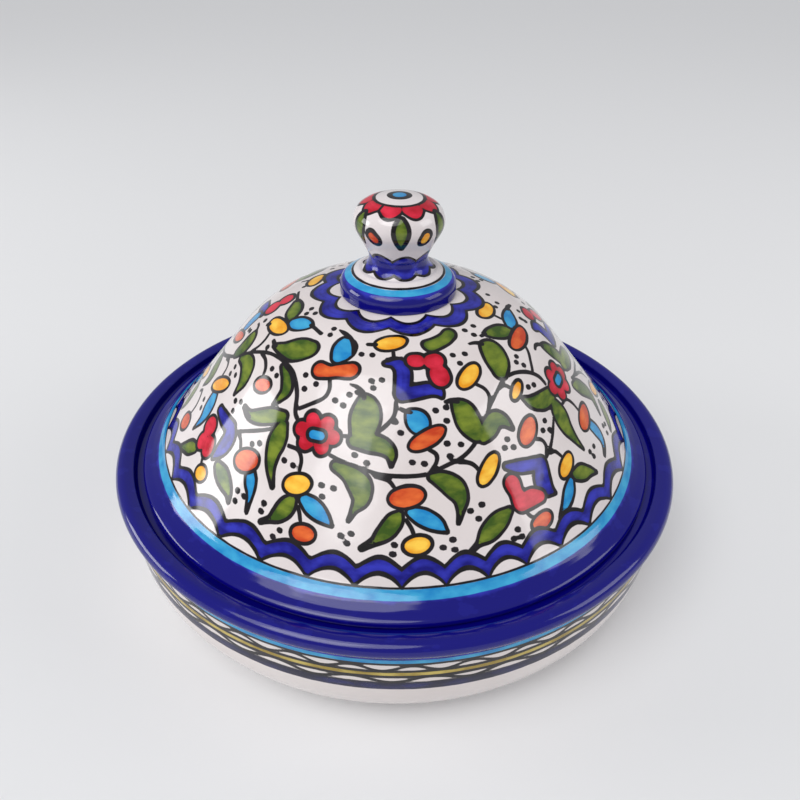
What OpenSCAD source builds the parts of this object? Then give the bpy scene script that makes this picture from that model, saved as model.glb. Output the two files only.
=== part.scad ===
// Glazed tagine: a shallow dish with a galleried rim, and a domed lid with a hollow thrown knob.
// Each piece is one turned profile, drawn as arcs and straight runs that meet without a corner.
// Origin at the centre of the foot, +Z up. Sizes in millimetres, angles in degrees.

/* [Dish] */
// Outer radius of the rolled rim
rim_r = 139; // [132:1:150]
// Height of the rim's widest line above the table
rim_z = 62; // [60:1:72]
// Radius of the rolled rim's section
rim_roll = 4; // [3.4:0.1:4.4]
// Width of the rim's flat lip, from its widest line to the gallery
lip_w = 8.7; // [8:0.1:10]
// Slope of the lip down towards the lid
lip_slope = 14; // [8:1:20]
// How far the painted wall stands back from the rim
rim_overhang = 4.5; // [3:0.5:6]
// Thickness of the dish wall and floor
dish_wall = 7; // [6:0.5:8]
// Outer radius of the foot ring
foot_r = 92; // [86:1:96]
// Width of the foot ring where it rests
foot_w = 7; // [6:0.5:10]
// Height of the foot ring
foot_h = 2.8; // [2:0.2:4]

/* [Gallery that seats the lid] */
// Depth of the ledge below the rim's widest line
ledge_drop = 1.7; // [1:0.1:4]
// Width of the ledge
ledge_w = 13.3; // [12:0.1:15]
// Thickness of the ledge at its inner edge
ledge_t = 4.5; // [4:0.5:6]

/* [Lid] */
// Gap between the lid's brim and the gallery, all round
lid_play = 3.9; // [2:0.1:5]
// Thickness of the lid wall
lid_wall = 6; // [5:0.5:6.5]
// Slope of the cone above the brim
cone_slope = 50.5; // [48:0.5:54]
// Slope of the brim at its edge
brim_slope = 17; // [12:1:24]
// Radius of the hollow curve between brim and cone
flare_r = 22; // [18:1:26]
// Radius at which the cone turns into the crown
crown_from_r = 76.4; // [73:0.2:80]
// Radius of the crown's curve
crown_r = 67.7; // [65:0.1:71]
// Slope of the crown where it runs under the collar
crown_slope = 8; // [6:0.5:10]

/* [Knob] */
// Outer radius of the stepped collar under the knob
collar_r = 26.6; // [25:0.2:29]
// Height of the collar's flat step above its seat
collar_h = 11.5; // [10.5:0.5:13]
// Radius of the collar's flat step
collar_step_r = 17.9; // [17:0.1:19]
// Radius of the knob's neck
neck_r = 13.3; // [12.5:0.1:14]
// Widest radius of the knob
knob_r = 20.1; // [19.5:0.1:22]
// Height of the knob above its seat
knob_h = 44.3; // [43:0.1:47]
// Thickness of the hollow knob's wall
knob_wall = 5; // [4:0.5:5.5]
// Radius of the vent hole that lets air out of the knob in the kiln
vent_r = 1.5; // [1:0.1:1.8]

/* [Hidden] */

$fn = 180;
// Number of steps in an arc
steps = 12;
// Small rounding on edges that the glaze softens
soft = 1.5;

// Points along an arc about centre c, from angle a0 to angle a1
function arc(c, r, a0, a1, n = steps) =
    [for (i = [0:n]) let (a = a0 + (a1 - a0) * i / n) [c[0] + r * cos(a), c[1] + r * sin(a)]];
// Centre of an arc of radius r that leaves point p, whose normal there points along angle a
function centre_from(p, r, a) = [p[0] - r * cos(a), p[1] - r * sin(a)];
function at(c, r, a) = [c[0] + r * cos(a), c[1] + r * sin(a)];

// ---- Dish ----

wall_r = rim_r - rim_overhang;
ledge_z = rim_z - ledge_drop;
// The wall is upright down to here, then turns in twice, first slowly and then tightly
wall_turn_z = rim_z - 24;
turn_1_r = 40;
turn_1_end = -38;
turn_2_r = 20;
turn_2_end = -82;
turn_1_c = [wall_r - turn_1_r, wall_turn_z];
turn_2_c = centre_from(at(turn_1_c, turn_1_r, turn_1_end), turn_2_r, turn_1_end);

// The rolled rim: round outside, a flat lip that tips inwards, and a step down to the ledge
roll_c = [rim_r - rim_roll, rim_z];
roll_under = -58;
lip_a = 90 + lip_slope;
lip_from = at(roll_c, rim_roll, lip_a);
lip_edge = 1.2;
lip_in_r = rim_r - lip_w;
ledge_in_r = lip_in_r - ledge_w;
lip_edge_c = [lip_in_r + lip_edge, lip_from[1] - lip_edge / cos(lip_slope)
              - (lip_from[0] - lip_in_r - lip_edge) * tan(lip_slope)];
ledge_fillet = 2;

floor_z = foot_h + dish_wall;
inner_r = wall_r - dish_wall;
// The ledge's underside runs back to the wall in a slope that a thumb can wipe
ledge_under = 8;
under_roll = at(roll_c, rim_roll, roll_under);

dish_outline = concat(
    // underside, inside the foot ring
    [[0, foot_h], [foot_r - foot_w - 1, foot_h]],
    // foot ring
    arc([foot_r - foot_w + soft, soft], soft, 180, 270, 4),
    arc([foot_r - soft, soft], soft, 270, 360, 4),
    [[foot_r, foot_h]],
    // bowl and upright wall
    arc(turn_2_c, turn_2_r, turn_2_end, turn_1_end),
    arc(turn_1_c, turn_1_r, turn_1_end, 0),
    // small hollow under the rim, then the roll
    arc([wall_r + soft, under_roll[1] - soft], soft, 180, 110, 4),
    arc(roll_c, rim_roll, roll_under, lip_a, 20),
    // gallery: edge of the lip, fillet and ledge
    arc(lip_edge_c, lip_edge, lip_a, 180, 5),
    arc([lip_in_r - ledge_fillet, ledge_z + ledge_fillet], ledge_fillet, 0, -90, 6),
    arc([ledge_in_r + soft, ledge_z - soft], soft, 90, 180, 6),
    arc([ledge_in_r + soft, ledge_z - ledge_t + soft], soft, 180, 235, 4),
    // inside of the bowl, one wall thickness in from the outside
    [[inner_r, ledge_z - ledge_t - ledge_under]],
    arc(turn_1_c, turn_1_r - dish_wall, 0, turn_1_end),
    arc(turn_2_c, turn_2_r - dish_wall, turn_1_end, turn_2_end),
    [[foot_r, floor_z], [0, floor_z]]
);

// Wide shallow dish on a turned foot ring, with the gallery formed in its rim
module dish() {
    color("royalblue")
        rotate_extrude() polygon(dish_outline);
}

// ---- Lid ----

// Each slope is turned into the angle of the surface's normal
brim_a = 90 - brim_slope;
cone_a = 90 - cone_slope;
crown_a = 90 - crown_slope;

lid_r = lip_in_r - lid_play;
edge_r = 2.3;
edge_c = [lid_r - edge_r, ledge_z + edge_r];
flare_from = at(edge_c, edge_r, brim_a);
flare_c = at(flare_from, flare_r, brim_a);
flare_to = at(flare_c, -flare_r, cone_a);
cone_top = [crown_from_r, flare_to[1] + (flare_to[0] - crown_from_r) * tan(cone_slope)];
crown_c = centre_from(cone_top, crown_r, cone_a);
crown_edge = at(crown_c, crown_r, crown_a);
seat_z = crown_edge[1] + (crown_edge[0] - collar_r) * tan(crown_slope);

// The brim's flat underside, which rests on the ledge
brim_in_r = lid_r - 13;
cone_in = at(flare_to, -lid_wall, cone_a);
brim_in_z = cone_in[1] - (brim_in_r - cone_in[0]) * tan(cone_slope);

lid_outline = concat(
    // brim: flat rest, round edge, hollow flare
    arc([brim_in_r + soft, ledge_z + soft], soft, 180, 270, 4),
    arc(edge_c, edge_r, -90, brim_a),
    arc(flare_c, -flare_r, brim_a, cone_a),
    // cone and crown, up to the flat seat of the knob
    arc(crown_c, crown_r, cone_a, crown_a, 24),
    [[collar_r, seat_z], [vent_r, seat_z]],
    // inside: crown, cone and the upright inner face of the brim
    [[vent_r, crown_c[1] + crown_r - lid_wall]],
    arc(crown_c, crown_r - lid_wall, 90, cone_a, 24),
    [[brim_in_r, brim_in_z]]
);

// Domed lid with a flared brim and a small vent under the knob
module lid_dome() {
    color("ivory")
        rotate_extrude() polygon(lid_outline);
}

// ---- Knob ----

step_z = seat_z + collar_h;
top_z = seat_z + knob_h;

// Collar: upright edge, quarter round, straight slope up to the flat step
collar_slope = 28;
collar_round = 4.8;
collar_side_a = 90 - collar_slope;
slope_run = collar_r - collar_round + collar_round * cos(collar_side_a) - collar_step_r;
round_c = [collar_r - collar_round,
           step_z - slope_run * tan(collar_slope) - collar_round * sin(collar_side_a)];

// Head of the knob: belly, brow, shoulder and a shallow cap, each curve running into the next
under_slope = 61.5;
under_a = under_slope - 90;
belly_r = 9.1;
brow_r = 8.4;
brow_a = 55;
shoulder_r = 17.8;
shoulder_a = 77;
cap_edge_x = knob_r - brow_r * (1 - cos(brow_a)) - shoulder_r * (cos(brow_a) - cos(shoulder_a));
cap_r = cap_edge_x / cos(shoulder_a);
head_h = brow_r * sin(brow_a) + shoulder_r * (sin(shoulder_a) - sin(brow_a))
    + cap_r * (1 - sin(shoulder_a));
belly_z = top_z - head_h;
belly_c = [knob_r - belly_r, belly_z];
brow_c = [knob_r - brow_r, belly_z];
shoulder_c = centre_from(at(brow_c, brow_r, brow_a), shoulder_r, brow_a);
cap_c = [0, top_z - cap_r];

// The neck's hollow curve touches the straight run and ends on the collar's step
neck_curve = 6.5;
belly_low = at(belly_c, belly_r, under_a);
neck_c_x = neck_r + neck_curve;
neck_high_x = neck_c_x - neck_curve * cos(under_a);
neck_c = [neck_c_x,
          belly_low[1] - (belly_low[0] - neck_high_x) * tan(under_slope) + neck_curve * sin(under_a)];
neck_foot_a = 180 + asin(min(1, (neck_c[1] - step_z) / neck_curve));

hollow_neck_r = neck_r - knob_wall;
hollow_belly = belly_r - knob_wall;
hollow_top = top_z - knob_wall;

knob_outline = concat(
    // base, with a softened edge where it is luted to the crown
    [[hollow_neck_r, seat_z]],
    arc([collar_r - soft / 2, seat_z + soft / 2], soft / 2, -90, 0, 4),
    // collar
    arc(round_c, collar_round, 0, collar_side_a),
    [[collar_step_r, step_z]],
    // neck, belly, shoulder and cap
    arc(neck_c, neck_curve, neck_foot_a, 180 + under_a),
    arc(belly_c, belly_r, under_a, 0),
    arc(brow_c, brow_r, 0, brow_a),
    arc(shoulder_c, shoulder_r, brow_a, shoulder_a, 6),
    arc(cap_c, cap_r, shoulder_a, 90, 6),
    // hollow inside
    [[0, hollow_top]],
    arc([knob_r - knob_wall - hollow_belly, hollow_top - hollow_belly], hollow_belly, 90, under_a),
    [[hollow_neck_r, neck_c[1]]]
);

// Hollow knob and its stepped collar, thrown in one and luted to the crown
module lid_knob() {
    color("cornflowerblue")
        rotate_extrude() polygon(knob_outline);
}

dish();
lid_dome();
lid_knob();
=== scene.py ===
from math import asin, ceil, cos, degrees, pi, radians, sin, tan

import bpy
import numpy as np
from mathutils import Euler, Matrix, Vector


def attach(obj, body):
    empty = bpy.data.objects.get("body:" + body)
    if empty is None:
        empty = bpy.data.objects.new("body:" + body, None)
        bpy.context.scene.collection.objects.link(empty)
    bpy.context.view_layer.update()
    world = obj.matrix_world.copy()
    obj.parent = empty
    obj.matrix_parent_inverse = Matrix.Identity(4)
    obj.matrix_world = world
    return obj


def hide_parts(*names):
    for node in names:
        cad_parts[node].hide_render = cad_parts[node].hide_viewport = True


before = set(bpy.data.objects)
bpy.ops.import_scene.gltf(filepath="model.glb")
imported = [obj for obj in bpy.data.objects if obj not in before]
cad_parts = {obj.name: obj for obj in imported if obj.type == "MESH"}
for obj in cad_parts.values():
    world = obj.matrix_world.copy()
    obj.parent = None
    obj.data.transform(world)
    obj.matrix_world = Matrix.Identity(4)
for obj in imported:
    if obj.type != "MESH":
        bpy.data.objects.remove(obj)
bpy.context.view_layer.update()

# A painted tagine: a wide dish with a galleried rim, and a domed lid with a thrown knob.
# Sections are in millimetres and degrees, as in the solids, and become metres when thrown.
MM = 0.001

# ---- Sizes of the thrown pieces ----
rim_r, rim_z, rim_roll, rim_overhang, roll_under = 139, 62, 4, 4.5, -58
lip_w, lip_slope, lip_edge = 8.7, 14, 1.2
dish_wall, wall_turn_drop = 7, 24
foot_r, foot_w, foot_h = 92, 7, 2.8
ledge_drop, ledge_w, ledge_t, ledge_under, ledge_fillet = 1.7, 13.3, 4.5, 8, 2
lid_play, lid_wall, lid_rest_w, brim_edge_r = 3.9, 6, 13, 2.3
cone_slope, brim_slope, flare_r = 50.5, 17, 22
crown_from_r, crown_r, crown_slope = 76.4, 67.7, 8
collar_r, collar_h, collar_step_r, collar_slope, collar_round = 26.6, 11.5, 17.9, 28, 4.8
knob_r, knob_h, knob_wall, vent_r = 20.1, 44.3, 5, 1.5
neck_r, neck_curve, under_slope, belly_r = 13.3, 6.5, 61.5, 9.1
# small rounding on edges that the glaze softens
soft = 1.5


def at(c, r, a):
    """The point at a radius and an angle from c."""
    return (c[0] + r * cos(radians(a)), c[1] + r * sin(radians(a)))


def centre_from(p, r, a):
    """The centre of an arc that leaves p, whose normal there points along an angle."""
    return (p[0] - r * cos(radians(a)), p[1] - r * sin(radians(a)))


def arc(c, r, a0, a1, step=1.0):
    """Points along an arc about c, at most a step apart."""
    n = max(4, ceil(abs(radians(a1 - a0)) * r / step))
    return [at(c, r, a0 + (a1 - a0) * i / n) for i in range(n + 1)]


def finer(points, step):
    """The same run with no gap longer than a step, and no point twice."""
    run = [points[0]]
    for p in points[1:]:
        gap = np.hypot(p[0] - run[-1][0], p[1] - run[-1][1])
        if gap < 1e-6:
            continue
        a, n = run[-1], max(1, ceil(gap / step))
        run += [(a[0] + (p[0] - a[0]) * i / n, a[1] + (p[1] - a[1]) * i / n)
                for i in range(1, n + 1)]
    return run


# ---- Section of the dish, from the middle of its floor to the middle of its foot ----
# The last number given to finer is the longest step, which is short where the pattern is fine
wall_r = rim_r - rim_overhang
lip_in_r = rim_r - lip_w
ledge_in_r = lip_in_r - ledge_w
ledge_z = rim_z - ledge_drop
floor_z = foot_h + dish_wall
inner_r = wall_r - dish_wall
turn_1_r, turn_1_end, turn_2_r, turn_2_end = 40, -38, 20, -82
turn_1_c = (wall_r - turn_1_r, rim_z - wall_turn_drop)
turn_2_c = centre_from(at(turn_1_c, turn_1_r, turn_1_end), turn_2_r, turn_1_end)
roll_c = (rim_r - rim_roll, rim_z)
lip_a = 90 + lip_slope
lip_from = at(roll_c, rim_roll, lip_a)
lip_edge_c = (lip_in_r + lip_edge, lip_from[1] - lip_edge / cos(radians(lip_slope))
              - (lip_from[0] - lip_in_r - lip_edge) * tan(radians(lip_slope)))
under_roll = at(roll_c, rim_roll, roll_under)
inner_top = (inner_r, ledge_z - ledge_t - ledge_under)
ledge_low = (ledge_in_r + soft, ledge_z - ledge_t)

bowl_inside = finer(
    [(0, floor_z), (foot_r, floor_z)]
    + arc(turn_2_c, turn_2_r - dish_wall, turn_2_end, turn_1_end, 2.5)
    + arc(turn_1_c, turn_1_r - dish_wall, turn_1_end, 0, 2.5)
    + [inner_top], 6)
gallery = finer(
    arc((ledge_in_r + soft, ledge_z - ledge_t + soft), soft, 235, 180, 0.6)
    + arc((ledge_in_r + soft, ledge_z - soft), soft, 180, 90, 0.6)
    + arc((lip_in_r - ledge_fillet, ledge_z + ledge_fillet), ledge_fillet, -90, 0, 0.6)
    + arc(lip_edge_c, lip_edge, 180, lip_a, 0.5), 2)
rim_and_wall = finer(
    arc(roll_c, rim_roll, lip_a, roll_under, 0.6)
    + arc((wall_r + soft, under_roll[1] - soft), soft, 110, 180, 0.6)
    + [(wall_r, turn_1_c[1] - 0.01)], 0.6)
bowl_outside = finer(
    arc(turn_1_c, turn_1_r, 0, turn_1_end, 2)
    + arc(turn_2_c, turn_2_r, turn_1_end, turn_2_end, 2)
    + [(foot_r, foot_h)]
    + arc((foot_r - soft, soft), soft, 360, 270, 0.6)
    + arc((foot_r - foot_w + soft, soft), soft, 270, 180, 0.6)
    + [(foot_r - foot_w - 1, foot_h), (0, foot_h)], 8)
dish_section = bowl_inside + gallery + rim_and_wall + bowl_outside

# ---- Section of the lid, from the vent under the knob out to the brim and back inside ----
brim_a, cone_a, crown_a = 90 - brim_slope, 90 - cone_slope, 90 - crown_slope
lid_r = lip_in_r - lid_play
edge_c = (lid_r - brim_edge_r, ledge_z + brim_edge_r)
flare_c = at(at(edge_c, brim_edge_r, brim_a), flare_r, brim_a)
flare_to = at(flare_c, -flare_r, cone_a)
cone_top = (crown_from_r, flare_to[1] + (flare_to[0] - crown_from_r) * tan(radians(cone_slope)))
crown_c = centre_from(cone_top, crown_r, cone_a)
crown_edge = at(crown_c, crown_r, crown_a)
seat_z = crown_edge[1] + (crown_edge[0] - collar_r) * tan(radians(crown_slope))
brim_in_r = lid_r - lid_rest_w
cone_in = at(flare_to, -lid_wall, cone_a)
brim_in_z = cone_in[1] - (brim_in_r - cone_in[0]) * tan(radians(cone_slope))

lid_seat = finer([(vent_r, seat_z), (collar_r, seat_z)], 8)
lid_outside = finer(
    [(collar_r, seat_z)]
    + arc(crown_c, crown_r, crown_a, cone_a)
    + arc(flare_c, -flare_r, cone_a, brim_a)
    + arc(edge_c, brim_edge_r, brim_a, -90, 0.9), 1.0)
lid_inside = finer(
    [(edge_c[0], ledge_z)]
    + arc((brim_in_r + soft, ledge_z + soft), soft, 270, 180, 0.8)
    + [(brim_in_r, brim_in_z)]
    + arc(crown_c, crown_r - lid_wall, cone_a, 90, 7)
    + [(vent_r, crown_c[1] + crown_r - lid_wall), (vent_r, seat_z)], 16)
lid_section = lid_seat + lid_outside + lid_inside

# ---- Section of the knob, from its top out to the collar and back up its hollow ----
step_z, top_z = seat_z + collar_h, seat_z + knob_h
collar_side_a = 90 - collar_slope
slope_run = (collar_r - collar_round + collar_round * cos(radians(collar_side_a))
             - collar_step_r)
round_c = (collar_r - collar_round,
           step_z - slope_run * tan(radians(collar_slope))
           - collar_round * sin(radians(collar_side_a)))
under_a = under_slope - 90
brow_r, brow_a, shoulder_r, shoulder_a = 8.4, 55, 17.8, 77
cap_edge_x = (knob_r - brow_r * (1 - cos(radians(brow_a)))
              - shoulder_r * (cos(radians(brow_a)) - cos(radians(shoulder_a))))
cap_r = cap_edge_x / cos(radians(shoulder_a))
head_h = (brow_r * sin(radians(brow_a))
          + shoulder_r * (sin(radians(shoulder_a)) - sin(radians(brow_a)))
          + cap_r * (1 - sin(radians(shoulder_a))))
belly_z = top_z - head_h
belly_c, brow_c = (knob_r - belly_r, belly_z), (knob_r - brow_r, belly_z)
shoulder_c = centre_from(at(brow_c, brow_r, brow_a), shoulder_r, brow_a)
belly_low = at(belly_c, belly_r, under_a)
neck_high_x = neck_r + neck_curve - neck_curve * cos(radians(under_a))
neck_c = (neck_r + neck_curve,
          belly_low[1] - (belly_low[0] - neck_high_x) * tan(radians(under_slope))
          + neck_curve * sin(radians(under_a)))
neck_foot_a = 180 + degrees(asin(min(1, (neck_c[1] - step_z) / neck_curve)))
hollow_neck_r, hollow_belly = neck_r - knob_wall, belly_r - knob_wall
hollow_top = top_z - knob_wall

knob_outside = finer(
    arc((0, top_z - cap_r), cap_r, 90, shoulder_a)
    + arc(shoulder_c, shoulder_r, shoulder_a, brow_a)
    + arc(brow_c, brow_r, brow_a, 0)
    + arc(belly_c, belly_r, 0, under_a)
    + arc(neck_c, neck_curve, 180 + under_a, neck_foot_a)
    + [(collar_step_r, step_z)]
    + arc(round_c, collar_round, collar_side_a, 0)
    + arc((collar_r - soft / 2, seat_z + soft / 2), soft / 2, 0, -90), 0.7)
knob_inside = finer(
    [knob_outside[-1], (hollow_neck_r, seat_z), (hollow_neck_r, neck_c[1])]
    + arc((knob_r - knob_wall - hollow_belly, hollow_top - hollow_belly), hollow_belly,
          under_a, 90)
    + [(0, hollow_top)], 6)
knob_section = knob_outside + knob_inside


# ---- Throwing ----
def throw(name, section, around):
    """Pulls one point along a section and turns it once round the axis."""
    bpy.ops.object.select_all(action="DESELECT")
    bpy.ops.mesh.primitive_plane_add(size=0.01)
    piece = bpy.context.object
    piece.name = piece.data.name = name
    bpy.ops.object.mode_set(mode="EDIT")
    bpy.ops.mesh.select_all(action="SELECT")
    bpy.ops.mesh.merge(type="CENTER")
    run = [Vector((r * MM, 0, z * MM)) for r, z in finer(section, 1000)]
    bpy.ops.transform.translate(value=run[0])
    for a, b in zip(run, run[1:]):
        bpy.ops.mesh.extrude_vertices_move(TRANSFORM_OT_translate={"value": b - a})
    bpy.ops.object.mode_set(mode="OBJECT")
    wheel = piece.modifiers.new("wheel", "SCREW")
    wheel.steps = wheel.render_steps = around
    wheel.use_merge_vertices, wheel.merge_threshold = True, 1e-6
    bpy.ops.object.modifier_apply(modifier="wheel")
    bpy.ops.object.mode_set(mode="EDIT")
    bpy.ops.mesh.select_all(action="SELECT")
    bpy.ops.mesh.remove_doubles(threshold=1e-6)
    bpy.ops.mesh.normals_make_consistent(inside=False)
    bpy.ops.object.mode_set(mode="OBJECT")
    bpy.ops.object.shade_smooth_by_angle(angle=radians(35))
    return piece


# Past this many millimetres from a stroke's edge, the distance no longer matters
FAR = 6.0


class Face:
    """The painted face of a thrown piece. A place on it is an angle, 0 in front and growing to
    the right, and a distance down from its top edge. Each pigment keeps how far every point
    is from the edge of its nearest stroke, below zero inside the stroke."""

    def __init__(self, piece, section, edge, pigments):
        section = np.array(finer(section, 1000))
        co = np.empty(len(piece.data.vertices) * 3, np.float32)
        piece.data.vertices.foreach_get("co", co)
        co = co.reshape(-1, 3) / MM
        r = np.hypot(co[:, 0], co[:, 1])
        spots, which = np.unique(np.round(np.c_[r, co[:, 2]], 2), axis=0, return_inverse=True)
        gap = np.hypot(spots[:, :1] - section[:, 0], spots[:, 1:] - section[:, 1])
        row = gap.argmin(1)[which.ravel()]
        along = np.r_[0, np.cumsum(np.hypot(*np.diff(section, axis=0).T))]
        edge = np.hypot(section[:, 0] - edge[0], section[:, 1] - edge[1]).argmin()
        self.piece, self.section = piece, section
        self.rows, self.row_down = row, along - along[edge]
        self.angle = np.degrees(np.arctan2(co[:, 0], -co[:, 1]))
        self.down, self.radius, self.height = self.row_down[row], r, co[:, 2]
        self.paint = {name: np.full(len(co), FAR) for name in ("ink", "ring", "bare") + pigments}

    def row_of(self, r, z):
        """The row of the section that lies nearest to a point."""
        return int(np.hypot(self.section[:, 0] - r, self.section[:, 1] - z).argmin())

    def radius_at(self, down):
        """How far from the axis the face is at a distance down."""
        return np.interp(down, self.row_down, self.section[:, 0])

    def reach(self, stroke):
        """How far points lie outside a stroke of (angle, down, half width) that swells and thins."""
        run = flowing(stroke)
        angle, down, half = run.T
        middle = angle.mean()
        turn = (self.angle - middle + 180) % 360 - 180
        pad = half.max() + 5
        wide = np.abs(angle - middle).max() + np.degrees(pad / self.radius_at(down).min())
        near = np.flatnonzero((np.abs(turn) < wide) & (self.down > down.min() - pad)
                              & (self.down < down.max() + pad))
        x, y = np.radians(turn[near]) * self.radius[near], self.down[near]
        px, py = np.radians(angle - middle) * self.radius_at(down), down
        out = np.full(len(near), np.inf)
        for k in range(len(run) - 1):
            dx, dy = px[k + 1] - px[k], py[k + 1] - py[k]
            t = np.clip(((x - px[k]) * dx + (y - py[k]) * dy) / (dx * dx + dy * dy + 1e-9), 0, 1)
            brush = half[k] + t * (half[k + 1] - half[k])
            out = np.minimum(out, np.hypot(x - px[k] - t * dx, y - py[k] - t * dy) - brush)
        return near, out

    def band(self, top, bottom):
        """How far points lie outside the band between two distances down."""
        return np.maximum(top - self.down, self.down - bottom)

    def stripe(self, middle, half):
        """How far points lie outside a stripe about a distance down, which may wave."""
        return np.abs(self.down - middle) - half

    def cover(self, pigment, out, near=slice(None)):
        """Lays a pigment where out is below zero, over what was there. None wipes it white."""
        for name, kept in self.paint.items():
            if name == pigment:
                kept[near] = np.minimum(kept[near], out)
            elif name not in ("bare", "ring"):
                kept[near] = np.maximum(kept[near], -out)

    def fill(self, pigment, *strokes):
        """Fills strokes with a pigment."""
        for stroke in strokes:
            near, out = self.reach(stroke)
            self.cover(pigment, out, near)

    def draw(self, *strokes):
        """Dark outline brush, over what was there."""
        for stroke in strokes:
            near, out = self.reach(stroke)
            self.paint["ink"][near] = np.minimum(self.paint["ink"][near], out)

    def ring(self, top, bottom):
        """A turquoise ring with no outline, over all else."""
        self.paint["ring"] = self.band(top, bottom)

    def line(self, out):
        """Dark outline brush, where out is below zero."""
        self.paint["ink"] = np.minimum(self.paint["ink"], out)

    def leave_bare(self, where):
        """No glaze here, so that the piece doesn't stick in the kiln."""
        self.paint["bare"] = np.where(where, -FAR, FAR)

    def fire(self):
        """Keeps the paint on the piece, for the glaze to show."""
        for name, kept in self.paint.items():
            layer = self.piece.data.attributes.new(name, "FLOAT", "POINT")
            layer.data.foreach_set("value", np.clip(kept, -FAR, FAR).astype(np.float32))


def flowing(stroke, n=5):
    """A smooth run through the places of a stroke, n steps from each to the next, with its
    width flowing along."""
    p = np.array(stroke, float)
    p = np.vstack([2 * p[0] - p[1], p, 2 * p[-1] - p[-2]])
    run = []
    for a, b, c, d in zip(p, p[1:], p[2:], p[3:]):
        for t in np.arange(n) / n:
            run.append(b + 0.5 * t * (c - a + t * (2 * a - 5 * b + 4 * c - d
                                                   + t * (3 * (b - c) + d - a))))
    run.append(p[-2])
    return np.array(run)


# ---- Painting ----
def even(half, *places):
    """A stroke of one width through places."""
    return [(angle, down, half) for angle, down in places]


def oval(stroke):
    """The stroke's ends drawn in, so that a short fat stroke becomes an oval fruit."""
    (a0, d0, w0), (a1, d1, w1) = stroke[0], stroke[-1]
    wide = max(w for _, _, w in stroke)
    # about how many millimetres a degree spans at the top, middle and foot of the lid
    degree = 0.9 if d0 < 45 else 1.4 if d0 < 80 else 1.75
    half = np.hypot((a1 - a0) * degree, d1 - d0) / 2
    long = half + 0.5 * (w0 + w1)
    reach = (long * long - wide * wide) / long if long > wide else 0
    run = []
    for t in (-1, -0.75, -0.4, 0, 0.4, 0.75, 1):
        x = t * reach
        w = wide * max(0, 1 - x * x / (long * long - wide * wide)) ** 0.4 if reach else wide
        k = 0.5 + 0.5 * x / max(half, 1e-3)
        run.append((a0 + (a1 - a0) * k, d0 + (d1 - d0) * k, w))
    return run


def rosette(angle, down, across, tall, petal):
    """Six round petals about a place."""
    return [[(angle + across * cos(k * pi / 3), down + tall * sin(k * pi / 3), petal),
             (angle + 0.5 * across * cos(k * pi / 3), down + 0.5 * tall * sin(k * pi / 3), petal)]
            for k in range(6)]


def dots(size, *places):
    """A dab of one size at each place."""
    return [[(angle - 0.2, down, size), (angle + 0.2, down + 0.1, size)] for angle, down in places]


# The vine and its stems on one side of the lid
VINES = [
    [(-91, 70.5), (-85, 67), (-80, 62.7), (-76, 59), (-72, 54.5), (-69, 51), (-66, 47.8),
     (-61, 44), (-56, 41.5), (-50, 40.6), (-44, 41.2), (-40, 43), (-36.5, 46.5), (-34, 51),
     (-32.3, 57), (-30, 60)],
    [(-18.5, 69), (-14, 70.7), (-9, 72.2), (-4, 74), (2, 74.6), (8, 74.3), (11, 73),
     (14.5, 71.3), (18, 69.8), (21.5, 67), (25, 63), (27.5, 59), (30, 54.5), (33, 51),
     (37, 47.5), (41, 44.8), (46, 44.2), (51, 45.8), (55, 48.8), (57.5, 52.5), (58.5, 57)],
    [(-14.8, 60.8), (-12, 60.3)],
    [(-5, 57.5), (-2.5, 54.5), (-0.3, 50.5), (0.2, 45)],
    [(-36.5, 66), (-40.5, 69.5), (-44.5, 72.7), (-48.5, 76)],
    [(57, 66), (53, 71), (49.5, 75.8), (46.5, 79.5), (43.5, 82)],
    [(74, 62), (78, 65)],
    [(76, 69), (80, 71), (86, 72.5), (92, 75)],
    [(81, 72), (86, 76), (89.5, 81), (91, 86)],
    [(-25, 39.5), (-23.7, 43.5), (-24.3, 47.5), (-28, 51.5), (-31.5, 55)],
    [(-68, 36), (-66, 39.5), (-65.6, 43.5), (-67, 48)],
    [(-60.5, 44.5), (-56.5, 45), (-53.3, 47.5), (-52, 50.5)],
    [(-80, 64.2), (-77, 62.8), (-74.3, 64.3), (-73.3, 68.5)],
    [(-81, 87), (-79.3, 85), (-77, 87.3), (-75.6, 90.5), (-75.3, 95.5)],
    [(-30.5, 70.6), (-27.3, 70.8), (-25.4, 74), (-25, 79.5)],
    [(-22.8, 92), (-21.8, 95), (-21, 98.5)],
    [(9.5, 64.5), (11.5, 66.8), (11.3, 69.8), (9.2, 74)],
    [(-5, 75), (-1.5, 76.3), (0.3, 79.5)],
    [(29.5, 41.8), (32.2, 45), (32.8, 48.5), (31, 53)],
    [(37.5, 47.2), (40.3, 46.8), (42.5, 49.3)],
    [(17.3, 71), (20.5, 72.3), (22.3, 75.3), (22.3, 78.5)],
    [(42.5, 72.6), (44.8, 74.7), (45.3, 77.7), (44, 81)],
    [(45.5, 81.4), (47.5, 82.2), (48.9, 85.8)],
    [(2.9, 91.5), (4.1, 95), (4.7, 98.5)],
    [(31.8, 97.5), (32.5, 100.3), (34, 101.8)],
    [(63.4, 38.5), (62, 41.5), (59, 45), (56.3, 48.7)],
    [(61, 69.3), (64, 69.7), (66, 73.5), (66.8, 78.8)],
    [(-56.3, 97), (-55.2, 99.8)],
    [(-49, 76.5), (-46.5, 78.5), (-44.8, 82)],
    [(-1.8, 21), (-1.2, 25.5)],
    [(69, 19), (69.5, 23.5)],
    [(-95.5, 73), (-93, 71.6), (-91, 70.5)],
    [(-94, 72.4), (-92.2, 77), (-91, 82)],
    [(92, 75), (94, 71.5), (95.5, 67)],
]

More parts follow.
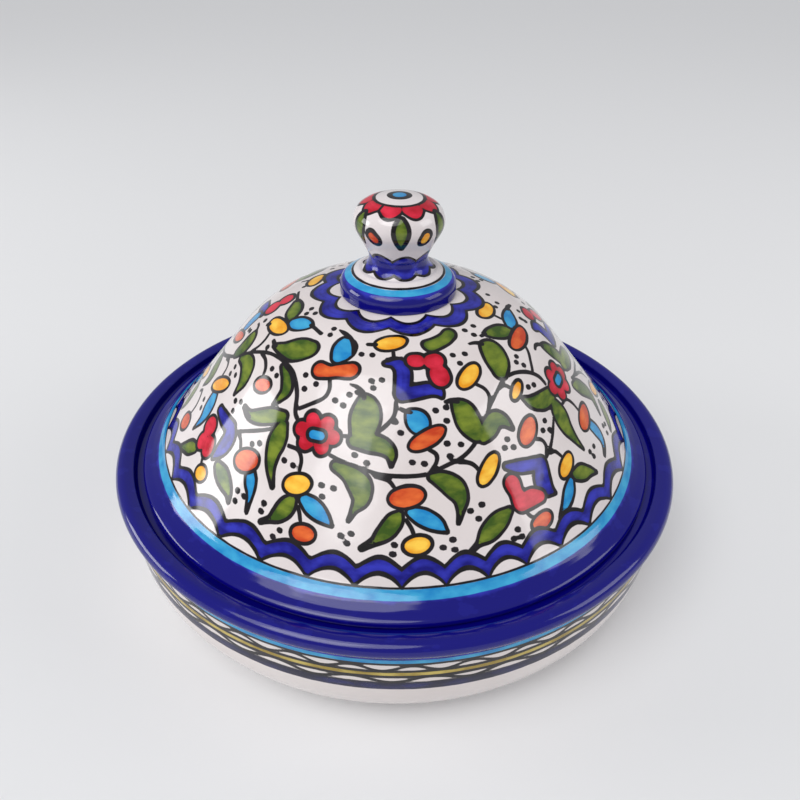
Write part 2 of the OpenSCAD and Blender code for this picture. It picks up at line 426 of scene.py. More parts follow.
# Flowers, leaves and fruit, each stroke as (angle, distance down, half width)
TULIP_CUPS = [
    [(-4.7, 28.6, 1.1), (-0.5, 28, 2.6), (2.5, 31, 3.4), (2.7, 36, 3.4), (2.2, 42, 3.2)],
    [(2.2, 42, 3.2), (7, 41.2, 3.2), (12, 40.5, 3.1), (15, 41.6, 2.4), (16, 44.3, 0.8)],
    [(30.5, 77.8, 1.6), (34, 79.8, 2.9), (38, 81.5, 3), (41.2, 83, 3.2)],
    [(41.2, 83.5, 3.2), (39.7, 88, 4.5), (39.3, 92, 4.2), (40.5, 95, 2), (41.6, 96.8, 0.5)],
    [(-61.5, 76.3, 2), (-57, 77.2, 3), (-52.5, 77.5, 3.2)],
    [(-52.5, 77.5, 3.2), (-51, 81.5, 4.2), (-51.3, 87, 3.9), (-52.6, 92.8, 1.2)],
    [(-98, 41, 3), (-92, 39.5, 3), (-86.5, 39.5, 1)],
    [(79.5, 40, 1.4), (83.5, 41.5, 3.2), (84, 47, 3.8), (83, 52, 2.8)],
    [(83, 52, 2.8), (88, 51.5, 3.2), (94, 50.5, 2.6)],
]
PETALS = [
    [(8, 27.2, 3.8), (9.3, 27.2, 3.8)],
    [(15.8, 28.3, 4.3), (17.3, 28.1, 4.3)],
    [(17, 34.5, 4.7), (17.2, 36, 4.7)],
    [(30.6, 85, 4.1), (30.9, 89, 3.5), (31.3, 93.6, 4.2)],
    [(31.3, 93.8, 4), (34.6, 93.6, 4.1), (37, 94.6, 3)],
    [(-61.2, 85, 4.9), (-60.6, 85.4, 4.9)],
    [(-60.5, 92.6, 4.2), (-60.3, 93, 4.2)],
    [(-56.9, 91, 4.7), (-56.4, 92.4, 4.6)],
    [(-90.5, 26, 4.2), (-89.5, 26, 4.2)],
    [(-88.3, 33, 4.4), (-87.3, 33.8, 4.4)],
    [(89, 37, 4), (91, 37, 4)],
    [(95, 43, 4.2), (96, 44, 4.2)],
] + rosette(-23.2, 62.2, 5.1, 5.6, 3.7) + rosette(66.3, 61.2, 5.0, 5.6, 3.7)
BUDS = [
    [(-24.3, 63, 2.5), (-21.8, 62.8, 2.5)],
    [(65.5, 61.2, 2.6), (68, 61, 2.6)],
    [(-26, 29, 3.2), (-25.5, 24.5, 5.2), (-28.5, 19.8, 1.2)],
    [(-63.5, 25.3, 2.6), (-60, 23.8, 4.2), (-56.5, 22.3, 3.6), (-52.3, 21, 1.1)],
    [(-69.3, 77, 3.4), (-68, 81.5, 4.5), (-67, 87, 2.8), (-67.9, 94.5, 0.5)],
    [(-38.6, 87.5, 2.6), (-37.2, 91, 2.9), (-35.9, 95.5, 1.6), (-35, 102.5, 0.5)],
    [(-21.5, 88.8, 2.6), (-18.8, 91, 3.8), (-16.3, 93.5, 2.7), (-13.8, 96.3, 0.5)],
    [(5, 50.5, 2.5), (6.9, 53.2, 4.7), (7.8, 55, 3.8)],
    [(4.3, 88.6, 2.4), (7, 91, 3.6), (9.8, 93.8, 2.9), (12, 97.3, 0.5)],
    [(48, 96.8, 2), (45.8, 100, 3.2), (43.3, 103.3, 2.4), (40, 107, 0.6)],
    [(69, 28.3, 2.6), (73, 27, 3.7), (77.5, 26, 2.8), (82, 25.3, 1.2)],
    [(68.4, 89.3, 3.2), (69.2, 93.5, 3.6), (69, 97.5, 2.6), (67.5, 100.8, 1.2), (65.3, 103, 0.6)],
    [(-89.5, 44, 4), (-88, 49, 3.6)],
    [(-92, 93, 2.6), (-94.3, 96.5, 3.7), (-96.8, 100, 2.6), (-99.2, 103.5, 0.5)],
    [(93.3, 96.5, 2.4), (95.5, 99.5, 3.5), (97.8, 102.5, 2.4), (100.2, 105.5, 0.5)],
]
LEAVES = [
    [(-58.5, 38, 0.9), (-52, 36, 3.4), (-46, 33, 6), (-42, 31, 5)],
    [(-46.5, 42.5, 1.2), (-42, 45.5, 2.4), (-39.2, 50, 2.7), (-39.8, 54, 1.8), (-41.3, 58, 0.5)],
    [(-11, 44, 1.5), (-9.5, 48, 4.8), (-9.3, 52.5, 6.3), (-9.5, 58, 5.3)],
    [(-11.5, 62, 3), (-7.5, 62, 3.9), (-3.5, 63, 3.5), (-1, 66, 2.2), (-0.8, 70.5, 0.6)],
    [(17.5, 20.3, 3.4), (22, 19.3, 3.3), (27, 18, 3.2), (31, 16.3, 3.3)],
    [(44.5, 27.5, 1.8), (45.5, 31, 5.3), (44.3, 36, 5.9), (42, 41, 3.6)],
    [(19.8, 47.5, 1.4), (22, 51.5, 4.6), (23, 56.5, 5.3), (24.5, 61.5, 3.5)],
    [(26, 64, 2.2), (28.5, 61.5, 3.8), (31.5, 58.5, 3.9), (34.5, 60, 2.6), (36.5, 64.5, 0.6)],
    [(9.8, 75.5, 1.8), (12.5, 77.2, 3.6), (15, 80.5, 4.4), (16.3, 85, 3.2), (15.8, 90, 1.4),
     (14.8, 94.5, 0.5)],
    [(1.3, 89.3, 1.6), (0, 92.5, 3.6), (-1.8, 96.5, 3.3), (-4, 100, 1.5), (-6.7, 103.2, 0.6)],
    [(27.5, 95, 1.8), (24.5, 97.5, 4), (21.5, 100.5, 3.8), (18.5, 104, 1), (16.3, 106.8, 0.6)],
    [(-34.8, 64, 2.5), (-34.6, 70, 4.4), (-34.3, 76, 3.4), (-33.2, 82, 2), (-30.8, 88.5, 0.6)],
    [(-36, 60.8, 2.6), (-40, 62.8, 3.6), (-44, 65.5, 3.3), (-48, 67.5, 2), (-51.8, 66.5, 0.9)],
    [(-24.8, 90.5, 2.4), (-25.6, 94, 4), (-26.8, 97.5, 3.2), (-28.5, 100.7, 1.2),
     (-30.6, 103.3, 0.6)],
    [(-15.5, 73, 2.2), (-11.5, 75.2, 3.6), (-8.6, 79, 4.8), (-7.8, 84, 3.4), (-9.2, 88.8, 1.4),
     (-10.2, 93.2, 0.5)],
    [(-49.5, 94, 2.2), (-46.8, 95.5, 3.8), (-44.2, 97.5, 3.2), (-42, 100, 1.6), (-40.8, 103, 0.5)],
    [(-61.2, 97.8, 2.2), (-63.5, 100.2, 3.6), (-65.8, 103, 2.4), (-68.8, 107.5, 0.6)],
    [(-88, 72, 2.5), (-84.5, 74, 4.5), (-81.5, 78, 3.6), (-82, 84, 0.8)],
    [(-69.5, 54.3, 1.8), (-65.5, 52.5, 3.6), (-61.8, 54, 4.4), (-59.5, 59, 3), (-59.6, 66, 0.6)],
    [(-76.5, 43.5, 1.3), (-74.5, 47, 4), (-73.8, 51, 4.4), (-75.2, 56, 2.6)],
    [(-83, 20.5, 1.2), (-77.5, 21, 3.2), (-72.5, 22.8, 3.8), (-67.5, 25.3, 1.8)],
    [(50.5, 23.5, 1.2), (55, 25, 3.3), (60, 27, 4), (64, 29, 2.6)],
    [(73, 46.5, 1.6), (75, 50, 3.6), (77, 54.5, 4), (79, 60, 3.5)],
    [(77.5, 61.5, 3.5), (82, 63, 4.6), (87, 64.5, 4), (92, 67.5, 0.8)],
    [(45, 55.2, 0.7), (48, 59, 2.8), (52.5, 61.3, 4.1), (57.5, 62, 3.6)],
    [(57.3, 67, 3), (57, 72, 5.2), (56.6, 78, 4), (57.2, 84, 2.2), (58.3, 91, 0.6)],
    [(50.3, 96.3, 2.6), (53, 97.7, 3.8), (55.5, 99.8, 2.4), (58.2, 103.3, 0.5)],
    [(74, 71.5, 1.8), (77, 75.5, 4.2), (79.8, 80.5, 4.4), (81.3, 86, 3), (77.8, 94, 0.6)],
    [(84, 97, 3), (81, 100.5, 3), (77, 104, 0.6)],
    [(-96, 74.8, 1.6), (-98.3, 79, 4), (-99.6, 84, 4.2), (-98.8, 89.5, 2.6), (-96.6, 94, 0.6)],
    [(-88, 91.5, 1.8), (-86, 95, 3.8), (-84.6, 99.5, 2.8), (-84.4, 104.5, 0.5)],
    [(95.6, 70.5, 1.6), (97.6, 75, 4), (98.8, 80.5, 4.2), (98.4, 86.5, 2.8), (96.6, 92, 0.6)],
]
ORANGES = [
    [(-30.5, 37, 3.8), (-26.5, 36.5, 3.1), (-23, 35, 3.3), (-18.5, 33.8, 3.9)],
    [(-51, 54.5, 3.4), (-48.5, 53.5, 3.6)],
    [(-42.3, 84.8, 5.2), (-40.4, 83.6, 5.2)],
    [(-20.7, 101.9, 3.9), (-19.2, 101.7, 3.9)],
    [(-75.7, 100, 4.4), (-74.2, 99.4, 4.4)],
    [(-90, 58, 3.4), (-86.5, 55.5, 3.4), (-83, 53, 2.8)],
    [(6.3, 62.3, 3.2), (9.5, 60.3, 3.3), (12.8, 58.2, 3.6)],
    [(1.2, 83.2, 4.4), (5, 82.3, 4.2)],
    [(40, 70, 4.2), (43, 66.8, 4.4)],
    [(33.8, 104.6, 3.6), (36.2, 103.8, 3.5)],
    [(59.5, 35.2, 3.7), (64.5, 34.7, 4), (70, 34, 3.3)],
    [(65.3, 84.3, 4.4), (70, 82.3, 4.4)],
]
LEMONS = [
    [(-7.5, 19, 3.3), (-3, 18, 4.1), (1.5, 16.8, 3.3)],
    [(25.8, 40, 3.2), (29, 37.8, 3.8), (31.7, 36, 3.2)],
    [(42.3, 52.7, 2.2), (46.3, 49.6, 2.6)],
    [(23.3, 79.6, 2.6), (25.3, 76.8, 3), (27.3, 73.6, 3.6)],
    [(4.3, 101.6, 3.9), (6.2, 101.2, 3.9)],
    [(-25.6, 84.5, 4.5), (-23.5, 83.3, 4.4)],
    [(-54, 102.5, 3.8), (-53.2, 102.3, 3.8)],
    [(-73.5, 74, 3.4), (-70.3, 71, 3.8), (-67.5, 68, 3.4)],
    [(-72.5, 32.8, 3.7), (-68.5, 31.8, 4.2), (-64.3, 31.3, 3.5)],
    [(47.3, 91.6, 3.4), (50.7, 88.9, 3.6)],
    [(64.5, 15.8, 3), (70, 15.5, 3.8), (76, 15.6, 3)],
    [(87, 90, 4), (90, 92, 4)],
    [(-91.8, 86.9, 3.6), (-89.2, 85.3, 3.6)],
]
TAILS = [
    [(-35, 16, 0.6), (-30.5, 16.8, 1.2), (-25.5, 18.4, 1), (-21.6, 22, 1.1), (-19.8, 26.5, 0.8)],
    [(-15, 19.8, 1), (-11, 19.4, 1.1)],
    [(-16.7, 39.8, 0.6), (-14, 40.3, 0.9), (-11.5, 42.4, 1.1), (-10.8, 44.5, 1)],
    [(-13.8, 42.5, 1), (-12.2, 43.2, 1)],
    [(-61.3, 37, 1.1), (-57.5, 38, 1.3)],
    [(1.8, 48.2, 0.9), (3.2, 49, 1), (5, 49.5, 0.8)],
    [(37.3, 24.2, 0.7), (40.5, 24.7, 1), (43.5, 26.3, 1.3)],
    [(16.8, 46.6, 0.9), (19, 46.4, 1.1), (21, 47.3, 0.9)],
    [(-52, 66, 1.1), (-50, 67.6, 1.2), (-47.5, 68.3, 0.8)],
    [(-53, 20.5, 1), (-48, 20.8, 0.9), (-42.5, 21.5, 1)],
    [(-95, 20.5, 0.7), (-88, 20.2, 0.8), (-83, 20.3, 1.2)],
    [(-81.5, 41, 0.6), (-79, 41, 0.8), (-76.5, 42.5, 1)],
    [(82, 24.7, 1.2), (85, 25, 1.2), (88.5, 26.4, 0.9)],
    [(47, 23.2, 0.9), (50.5, 23.2, 1)],
    [(66.7, 43.5, 0.8), (69, 42.8, 1), (71.5, 44, 1.1), (73, 46, 1.2)],
    [(-74.8, 35.8, 1.4), (-73.6, 35.2, 1.2)],
    [(-0.9, 69.6, 1.1), (-1, 71, 0.9)],
    [(-3.8, 26.8, 1.3), (-1, 26, 1), (2.5, 25.6, 0.8)],
]
SPOTS = dots(
    1.25, (-38.7, 16.4), (-37.5, 20.1), (-16.3, 25.3), (-11.2, 24.9), (-9.2, 36.9), (-5.3, 36.1),
    (-8.1, 39.9), (-35, 41.2), (-29.3, 43.2), (-32.7, 46.7), (-16, 44), (-20.3, 47.5),
    (-17.2, 48.8), (-10.9, 67.4), (-7.4, 70), (0, 53.2), (1.7, 57.5), (-30.2, 76.7),
    (-27.2, 77.3), (-18.2, 81.5), (-15, 81.7), (-17.4, 85.8), (-39.8, 96.7), (-37.3, 97.3),
    (-39.2, 101), (-31.4, 95.8), (-31.4, 99.3), (-25.4, 103.4), (-26.5, 106.7), (-11.4, 99.3),
    (-9.2, 98), (-9.9, 101.8), (0.3, 101), (0, 104.6), (4.8, 69.2), (8, 70), (15, 63),
    (19, 64.3), (15.3, 68.2), (13, 49.4), (16.6, 48.8), (16, 54.1), (26.1, 27), (31.9, 27.9),
    (27.4, 31.5), (33.5, 67.6), (31.8, 70.5), (34.6, 71.6), (18.1, 90.7), (21.2, 89.3),
    (19.7, 94.4), (13, 100.5), (10.7, 103), (13.2, 104.5), (28.3, 103), (26.8, 106),
    (28.8, 106.3), (41.7, 17), (49.2, 17), (44, 21), (84.5, 19.5), (92, 15.3), (79, 19),
    (80.2, 32), (80.4, 34.5), (86.5, 30.8), (54.2, 39.3), (52, 41.2), (54.3, 44.2),
    (49.8, 52.7), (52.8, 53.5), (49.3, 68.7), (46.8, 71.6), (49.4, 73.2), (60.2, 94.7),
    (63.2, 95.1), (60.7, 97.8), (74.5, 97.3), (76.5, 98.8), (74, 101.2), (-67.3, 15),
    (-60.7, 15), (-64.6, 18.2), (-79.5, 37), (-82.5, 47), (-80.5, 46.2), (-60.8, 40.8),
    (-50.2, 46), (-46.3, 47.2), (-69.3, 59.2), (-65.6, 60.8), (-69.2, 63.2), (-57.2, 67.7),
    (-54.5, 66), (-55.6, 71.6), (-73.7, 83.7), (-71.8, 86.8), (-42, 77), (-39.7, 75),
    (-96.5, 60), (-94.3, 63), (-97.5, 64.6), (-92, 104), (-89, 101.5), (-89.6, 106),
    (96.5, 55), (99, 58), (96.3, 60.4), (92, 103.4), (89.6, 100.8), (90.6, 106.2), (92, 81.3),
    (94.3, 84))


# The pattern is painted on the near side and repeated on the far side. There, strokes that reach
# past the first angle are left out, and vines stop short of the second.
REPEAT_TO, VINE_TO = 80, 88
COLLAR_LOBES, BORDER_ARCHES = 11, 36


def paint_vine(face, side):
    """Vine, flowers, leaves and fruit on one side of the lid."""
    def here(strokes):
        return [[(a + side, *rest) for a, *rest in s] for s in strokes
                if side == 0 or max(abs(a) for a, *_ in s) < REPEAT_TO]

    def fruit(strokes):
        return [oval(s) if len(s) < 4 else s for s in strokes]

    vines = [[place for place in s if side == 0 or abs(place[0]) < VINE_TO] for s in VINES]
    face.draw(*[even(0.9, *[(a + side, d) for a, d in s]) for s in vines if len(s) > 1])
    for pigment, strokes in (("green", LEAVES), ("cobalt", TULIP_CUPS), ("red", PETALS),
                             ("turquoise", BUDS), ("orange", fruit(ORANGES)),
                             ("yellow", fruit(LEMONS))):
        face.fill(pigment, *here(strokes))
    face.draw(*here(TAILS), *here(SPOTS))


def paint_lid(face):
    """The vine between its two cobalt borders, the brim and the bare rest."""
    angle, down = face.angle, face.down
    outside = (down > -0.5) & (down < 136)
    for side in (0, 180):
        paint_vine(face, side)
    # scalloped collar of cobalt round the knob
    scallop = 4.7 * np.sin(pi * ((angle + 38.5) * COLLAR_LOBES / 360 % 1))
    collar = 0.9 * face.band(0.9 + scallop, 8.6 + scallop)
    face.cover("cobalt", np.where(outside, collar, FAR))
    # border of arches above the brim, closer together in front
    uneven = 2.9 * np.sin(np.radians(3 * (angle - 15)))
    swell = np.sin(pi * ((angle + uneven) * BORDER_ARCHES / 360 % 1))
    border = 0.85 * face.band(110.4 - 4.5 * swell, 118 - 5.9 * swell ** 0.75)
    face.cover("cobalt", np.where(outside, border, FAR))
    face.line(np.where(outside, face.stripe(117.7, 0.55), FAR))
    # cobalt brim under a turquoise ring
    face.cover("cobalt", np.where(outside, 119.6 - down, FAR))
    face.ring(118.1, 122.4)
    face.leave_bare((face.height < ledge_z + 0.3) & (face.radius < lid_r - 2))


def paint_knob(face):
    """The collar, the waved neck, and the leaves, fruit and petals of the head."""
    angle, down = face.angle, face.down
    foot_edge = 68.5
    # collar: cobalt edge under a turquoise ring
    face.cover("cobalt", np.where(down < foot_edge, 56.8 - down, FAR))
    face.line(face.stripe(54.7, 0.6))
    face.ring(55.4, 58.8)
    # waved cobalt band round the neck
    high = 41.3 - 3.3 * np.abs(np.sin(np.radians(4 * (angle + 11))))
    low = 47.4 + 2.3 * np.abs(np.sin(np.radians(4.5 * (angle + 7))))
    face.cover("cobalt", face.band(high, low))
    # nine red petals round a white cap with a turquoise eye
    for k in range(9):
        face.fill("red", [(40 * k - 23, 14, 3.4), (40 * k - 15, 15.2, 3.7), (40 * k - 7, 14, 3.4)])
        face.draw([(40 * k + 5, 11.4, 0.6), (40 * k + 5, 15.6, 0.6)])
    face.cover(None, down - 11.1)
    face.cover("turquoise", down - 3.7)
    face.line(np.minimum(face.stripe(11.3, 0.5), face.stripe(4.7, 0.8)))
    # six leaves, with a fruit between each two
    rim = 1.1
    for k in range(6):
        leaf = [(60 * k + 3, 18.8, 1.2), (60 * k + 3, 23.5, 3.2), (60 * k + 3, 27.8, 2.2),
                (60 * k + 3.5, 32, 0.4)]
        face.draw([(a, d, half + rim) for a, d, half in leaf])
        face.fill("green", leaf)
    for k, place in enumerate((-33, 35, 93, 151, 209, 267)):
        lean = (2, -1)[k % 2]
        face.draw([(place - lean, 26.6, 3.4), (place + lean, 28.3, 3.6)])
        face.fill(("orange", "yellow")[k % 2],
                  [(place - lean, 26.8, 2.3), (place + lean, 28.3, 2.5)])


def paint_dish(face):
    """The rim, the ring inside, the bands of the wall and the bare foot."""
    angle, down = face.angle, face.down
    # cobalt from the gallery over the rim, down to a turquoise ring
    face.cover("cobalt", face.band(-24.5, 18.4))
    face.ring(17.05, 19)
    face.line(face.stripe(19.6, 0.6))
    # inside, a second ring and a fine line run under the ledge
    under_ledge = face.row_down[face.row_of(*inner_top)]
    within = face.rows < face.row_of(*ledge_low)
    face.paint["ring"] = np.where(within, face.band(under_ledge - 9, under_ledge - 1),
                                  face.paint["ring"])
    face.line(np.where(within, face.stripe(under_ledge - 12, 0.8), FAR))
    # outside, an olive band between two waves, and a navy band
    face.cover("olive", face.band(23.8, 27.2))
    face.line(np.minimum(face.stripe(23.85, 0.65), face.stripe(27.2, 0.7)))
    face.cover("navy", face.band(30.5, 35.1))
    face.line(np.minimum(face.stripe(30.6, 0.3), face.stripe(35, 0.3)))
    upper = 22 + 1.5 * np.cos(np.radians(36 * (angle + 1.5)))
    lower = 28.9 - 1.5 * np.cos(np.radians(27 * (angle + 6.5)))
    face.line(np.minimum(face.stripe(upper, 0.8), face.stripe(lower, 0.8)) * 0.9)
    face.leave_bare((face.height < 0.9) & (face.radius > 70))


def lay_out(face, *parts):
    """Lays the piece out flat for its baked colours, as discs seen down the axis. Each part is
    (first row, last row, middle of its disc, radius at the first row, radius at the last)."""
    data = face.piece.data
    loops = np.empty(len(data.loops), int)
    data.loops.foreach_get("vertex_index", loops)
    starts = np.empty(len(data.polygons), int)
    data.polygons.foreach_get("loop_start", starts)
    counts = np.diff(np.r_[starts, len(loops)])
    top_row = np.repeat(np.maximum.reduceat(face.rows[loops], starts), counts)
    flat = np.zeros((len(loops), 2), np.float32)
    turn = np.radians(face.angle[loops])
    for first, last, middle, near, far in parts:
        a, b = face.row_down[first], face.row_down[last]
        share = (face.row_down[face.rows[loops]] - a) / (b - a)
        away = near + (far - near) * share
        disc = np.c_[middle + away * np.sin(turn), middle - away * np.cos(turn)]
        flat = np.where(((top_row > first) & (top_row <= last))[:, None], disc, flat)
    layer = data.uv_layers.new(name="OFBake")
    layer.uv.foreach_set("vector", flat.astype(np.float32).ravel())


# ---- Glazes ----
def tint(r, g, b):
    """A colour on the 0 to 255 scale, as the shader wants it."""
    return tuple(((c / 255 + 0.055) / 1.055) ** 2.4 for c in (r, g, b)) + (1,)


# Each pigment where it lies thin and where it lies thick
PIGMENTS = {
    "cobalt": (tint(46, 50, 178), tint(8, 4, 116)),
    "turquoise": (tint(62, 168, 212), tint(20, 128, 192)),
    "green": (tint(120, 136, 40), tint(54, 82, 16)),
    "red": (tint(224, 44, 70), tint(176, 6, 34)),
    "orange": (tint(232, 112, 50), tint(192, 60, 22)),
    "yellow": (tint(252, 204, 76), tint(232, 152, 20)),
    "olive": (tint(206, 186, 98), tint(152, 128, 44)),
    "navy": (tint(22, 26, 90), tint(6, 6, 46)),
}
INK = tint(11, 8, 9), tint(31, 25, 31)
CLAY = tint(196, 168, 138), tint(222, 200, 172)


class Recipe:
    """The nodes of one material, in a few short words."""

    def __init__(self, name):
        self.material = bpy.data.materials.new(name)
        self.material.use_nodes = True
        self.tree = self.material.node_tree
        self.gloss = self.tree.nodes["Principled BSDF"]

    def feed(self, socket, value):
        """Links an output to a socket, or sets a constant on it."""
        if isinstance(value, bpy.types.NodeSocket):
            self.tree.links.new(value, socket)
        elif value is not None:
            socket.default_value = value

    def node(self, kind, *values, **settings):
        """A new shader node, with values for its first sockets in order."""
        new = self.tree.nodes.new("ShaderNode" + kind)
        for key, value in settings.items():
            setattr(new, key, value)
        for socket, value in zip(new.inputs, values):
            self.feed(socket, value)
        return new

    def place(self):
        """Where a point is on the piece, in metres."""
        return self.node("TexCoord").outputs["Object"]

    def math(self, operation, *values):
        """One sum on up to three numbers."""
        return self.node("Math", *values, operation=operation).outputs[0]

    def between(self, value, low, high, to_low=0.0, to_high=1.0):
        """to_low at low, to_high at high."""
        return self.node("MapRange", value, low, high, to_low, to_high).outputs[0]

    def layered(self, amount, under, over):
        """One colour over another."""
        new = self.node("Mix", data_type="RGBA")
        for name, value in (("Factor_Float", amount), ("A_Color", under), ("B_Color", over)):
            self.feed(next(socket for socket in new.inputs if socket.identifier == name), value)
        return next(socket for socket in new.outputs if socket.identifier == "Result_Color")

    def mottle(self, scale, detail, stretch=None):
        """Cloudy patches, which may be stretched."""
        place = self.place()
        if stretch:
            place = self.node("Mapping", place, (0, 0, 0), (0, 0, 0), stretch).outputs[0]
        new = self.node("TexNoise", noise_dimensions="3D")
        self.feed(new.inputs["Vector"], place)
        self.feed(new.inputs["Scale"], scale)
        self.feed(new.inputs["Detail"], detail)
        return new.outputs[0]

    def stroke(self, name, wander, amount):
        """How far a pigment's edge is, made a little uneven by the hand."""
        kept = self.node("Attribute", attribute_name=name).outputs["Fac"]
        return self.math("MULTIPLY_ADD", wander, amount, kept)


def painted(mix, white, pigments):
    """Brush painted pigments on white, with dark outlines and a ring."""
    wander = mix.math("MULTIPLY_ADD", mix.mottle(170, 2), 1.0, -0.5)
    brush = mix.between(mix.mottle(95, 3, (1, 1, 2.6)), 0.36, 0.66)
    colour = mix.layered(mix.between(mix.mottle(28, 2), 0.3, 0.7), *white)
    nearest = None
    for pigment in pigments:
        out = mix.stroke(pigment, wander, 0.55)
        # a pigment lies thicker away from its edge, and cobalt most of all
        pooled = mix.math("MULTIPLY_ADD", mix.between(out, -2.2, -0.4), 0.45, brush)
        if pigment == "cobalt":
            pooled = mix.math("MULTIPLY_ADD", mix.between(out, -2.8, -4.6), 0.9, pooled)
        body = mix.layered(mix.node("Clamp", pooled).outputs[0], *PIGMENTS[pigment])
        colour = mix.layered(mix.between(out, 0.12, -0.12), colour, body)
        if pigment != "navy":
            edge = mix.math("ABSOLUTE", out, 0.0)
            nearest = edge if nearest is None else mix.math("MINIMUM", nearest, edge)
    # the outline swells and thins as a loaded brush does
    hand = mix.math("MULTIPLY_ADD", mix.mottle(60, 1), 0.6, 0.46)
    line = mix.math("MINIMUM", mix.math("SUBTRACT", nearest, hand), mix.stroke("ink", wander, 0.4))
    ink = mix.layered(mix.between(mix.mottle(140, 2), 0.35, 0.75), *INK)
    colour = mix.layered(mix.between(line, 0.14, -0.1), colour, ink)
    ring = mix.layered(brush, *PIGMENTS["turquoise"])
    return mix.layered(mix.between(mix.stroke("ring", wander, 0.3), 0.12, -0.12), colour, ring)


def glaze(name, white, pigments):
    """Clear gloss over the painting, with bare clay where the piece rests."""
    mix = Recipe(name)
    colour = painted(mix, white, pigments)
    bare = mix.between(mix.node("Attribute", attribute_name="bare").outputs["Fac"], 0.15, -0.15)
    grit = mix.mottle(900, 2)
    clay = mix.layered(mix.between(grit, 0.3, 0.7), *CLAY)
    mix.feed(mix.gloss.inputs["Base Color"], mix.layered(bare, colour, clay))
    mix.feed(mix.gloss.inputs["Roughness"], mix.between(bare, 0.0, 1.0, 0.09, 0.8))
    mix.feed(mix.gloss.inputs["IOR"], 1.5)
    # glaze pools in soft waves, and the clay under it keeps faint throwing rings
    rings = mix.node("TexWave", mix.place(), wave_type="BANDS", bands_direction="Z")
    mix.feed(rings.inputs["Scale"], 18)
    mix.feed(rings.inputs["Distortion"], 1.5)
    skin = mix.math("ADD", mix.mottle(38, 2), mix.math("MULTIPLY", rings.outputs[1], 0.12))
    skin = mix.math("ADD", skin, mix.math("MULTIPLY", mix.math("MULTIPLY", grit, bare), 0.5))
    relief = mix.node("Bump")
    mix.feed(relief.inputs["Strength"], 0.5)
    mix.feed(relief.inputs["Distance"], 0.0006)
    mix.feed(relief.inputs["Height"], skin)
    mix.feed(mix.gloss.inputs["Normal"], relief.outputs[0])
    return mix.material


# ---- The pieces ----
LID_PIGMENTS = ("cobalt", "turquoise", "green", "red", "orange", "yellow")
DISH_PIGMENTS = ("cobalt", "turquoise", "olive", "navy")
# The last number of each is how many steps the wheel takes in one turn
dish = throw("dish_glazed", dish_section, 560)
lid = throw("lid_glazed", lid_section, 576)
knob = throw("knob_glazed", knob_section, 220)

dish_face = Face(dish, dish_section, (roll_c[0], rim_z + rim_roll), DISH_PIGMENTS)
lid_face = Face(lid, lid_section, (collar_r, seat_z), LID_PIGMENTS)
knob_face = Face(knob, knob_section, (0, top_z), LID_PIGMENTS)
paint_dish(dish_face)
paint_lid(lid_face)
paint_knob(knob_face)

# What is seen fills the middle of the sheet as one wide disc, and the rest is a small one in a
# corner: the outside of the lid and the knob, and the inside and the wall of the dish.
MIDDLE, CORNER = 0.5, 0.087
disc_r, inner_disc_r, small_disc_r = 0.49, 0.25, 0.085
last = len(dish_face.section) - 1
gallery_row = dish_face.row_of(*ledge_low)
wall_row = dish_face.row_of(*rim_and_wall[-1])
lay_out(dish_face, (0, gallery_row, MIDDLE, 0, inner_disc_r),
        (gallery_row, wall_row, MIDDLE, inner_disc_r, disc_r),
        (wall_row, last, CORNER, small_disc_r, 0))
edge_row, last = lid_face.row_of(*lid_outside[-1]), len(lid_face.section) - 1
lay_out(lid_face, (0, edge_row, MIDDLE, 0.005, disc_r),
        (edge_row, last, CORNER, small_disc_r, 0.001))
base_row, last = knob_face.row_of(*knob_outside[-1]), len(knob_face.section) - 1
lay_out(knob_face, (0, base_row, MIDDLE, 0, disc_r), (base_row, last, CORNER, small_disc_r, 0))

for face, slot, white, pigments in (
        (dish_face, "dish_glaze", (tint(226, 218, 215), tint(219, 210, 207)), DISH_PIGMENTS),
        (lid_face, "lid_glaze", (tint(227, 219, 218), tint(216, 206, 204)), LID_PIGMENTS),
        (knob_face, "knob_glaze", (tint(228, 222, 222), tint(218, 209, 209)), LID_PIGMENTS)):
    face.fire()
    face.piece.data.materials.clear()
    face.piece.data.materials.append(glaze(slot, white, pigments))

for piece, node, body, slot in ((dish, "dish", "dish", "dish_glaze"),
                                (lid, "lid_dome", "lid", "lid_glaze"),
                                (knob, "lid_knob", "lid", "knob_glaze")):
    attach(piece, body)
    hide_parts(node)


# ---- Camera, floor and light ----
def add(name, data, matrix):
    """Puts a camera or a lamp in its place."""
    holder = bpy.data.objects.new(name, data)
    bpy.context.scene.collection.objects.link(holder)
    holder.matrix_world = matrix
    return holder


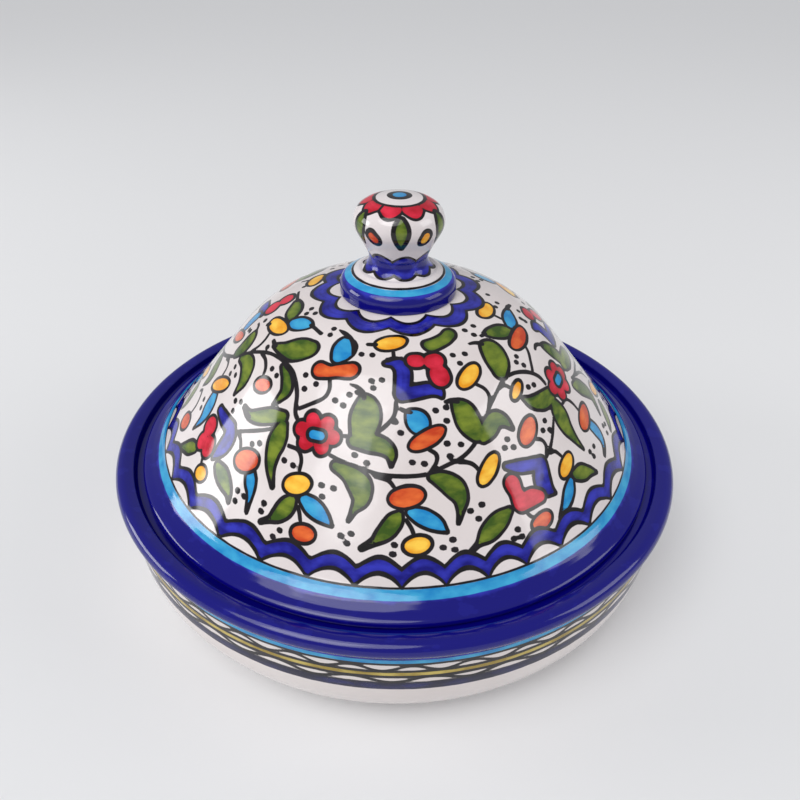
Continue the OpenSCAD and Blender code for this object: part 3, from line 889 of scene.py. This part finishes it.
cam_data = bpy.data.cameras.new("view")
cam_data.lens, cam_data.sensor_width = 32.74, 36
cam_place = (0.00127, -0.30571, 0.28945)
yaw, pitch, roll = radians(0.113), radians(34.296), radians(1.089)
forward = Vector((sin(yaw) * cos(pitch), cos(yaw) * cos(pitch), -sin(pitch)))
right = Vector((cos(yaw), -sin(yaw), 0))
up = right.cross(forward)
axis_x = cos(roll) * right + sin(roll) * up
axis_y = cos(roll) * up - sin(roll) * right
turned = Matrix((axis_x, axis_y, -forward)).transposed().to_4x4()
bpy.context.scene.camera = add("view", cam_data, Matrix.Translation(cam_place) @ turned)

bpy.ops.object.select_all(action="DESELECT")
bpy.ops.mesh.primitive_plane_add(size=16)
floor = bpy.context.object
floor.name = "floor"
paper = Recipe("pale_paper")
paper.feed(paper.gloss.inputs["Base Color"], tint(226, 226, 227))
paper.feed(paper.gloss.inputs["Roughness"], 0.85)
floor.data.materials.append(paper.material)


def softbox(name, place, wide, high, power):
    """A soft lamp that faces the lid."""
    lamp = bpy.data.lights.new(name, "AREA")
    lamp.shape, lamp.size, lamp.size_y, lamp.energy = "RECTANGLE", wide, high, power
    toward = Vector((0, 0, 0.09)) - Vector(place)
    add(name, lamp, Matrix.Translation(place) @ toward.to_track_quat("-Z", "Y").to_matrix().to_4x4())


softbox("window", (-1.5, 0.05, 0.5), 0.7, 0.5, 6)
softbox("key", (-0.7, -1.1, 1.6), 0.9, 0.9, 6)
softbox("fill", (1.4, -0.3, 0.9), 0.9, 0.7, 5)
daylight = bpy.data.lights.new("daylight", "SUN")
daylight.energy, daylight.angle = 1.5, radians(50)
add("daylight", daylight, Euler((radians(28), radians(-20), 0)).to_matrix().to_4x4())

# The camera sees a pale backdrop. Light on the piece, and what its glaze reflects, come from
# the same room made dimmer.
room = bpy.data.worlds.new("room")
bpy.context.scene.world = room
room.use_nodes = True
air = room.node_tree.nodes["Background"]
air.inputs["Color"].default_value = tint(236, 238, 242)
seen = room.node_tree.nodes.new("ShaderNodeLightPath")
bright = room.node_tree.nodes.new("ShaderNodeMapRange")
bright.inputs["To Min"].default_value, bright.inputs["To Max"].default_value = 0.42, 0.85
room.node_tree.links.new(seen.outputs["Is Camera Ray"], bright.inputs["Value"])
room.node_tree.links.new(bright.outputs[0], air.inputs["Strength"])
bpy.context.scene.view_settings.view_transform = "Standard"
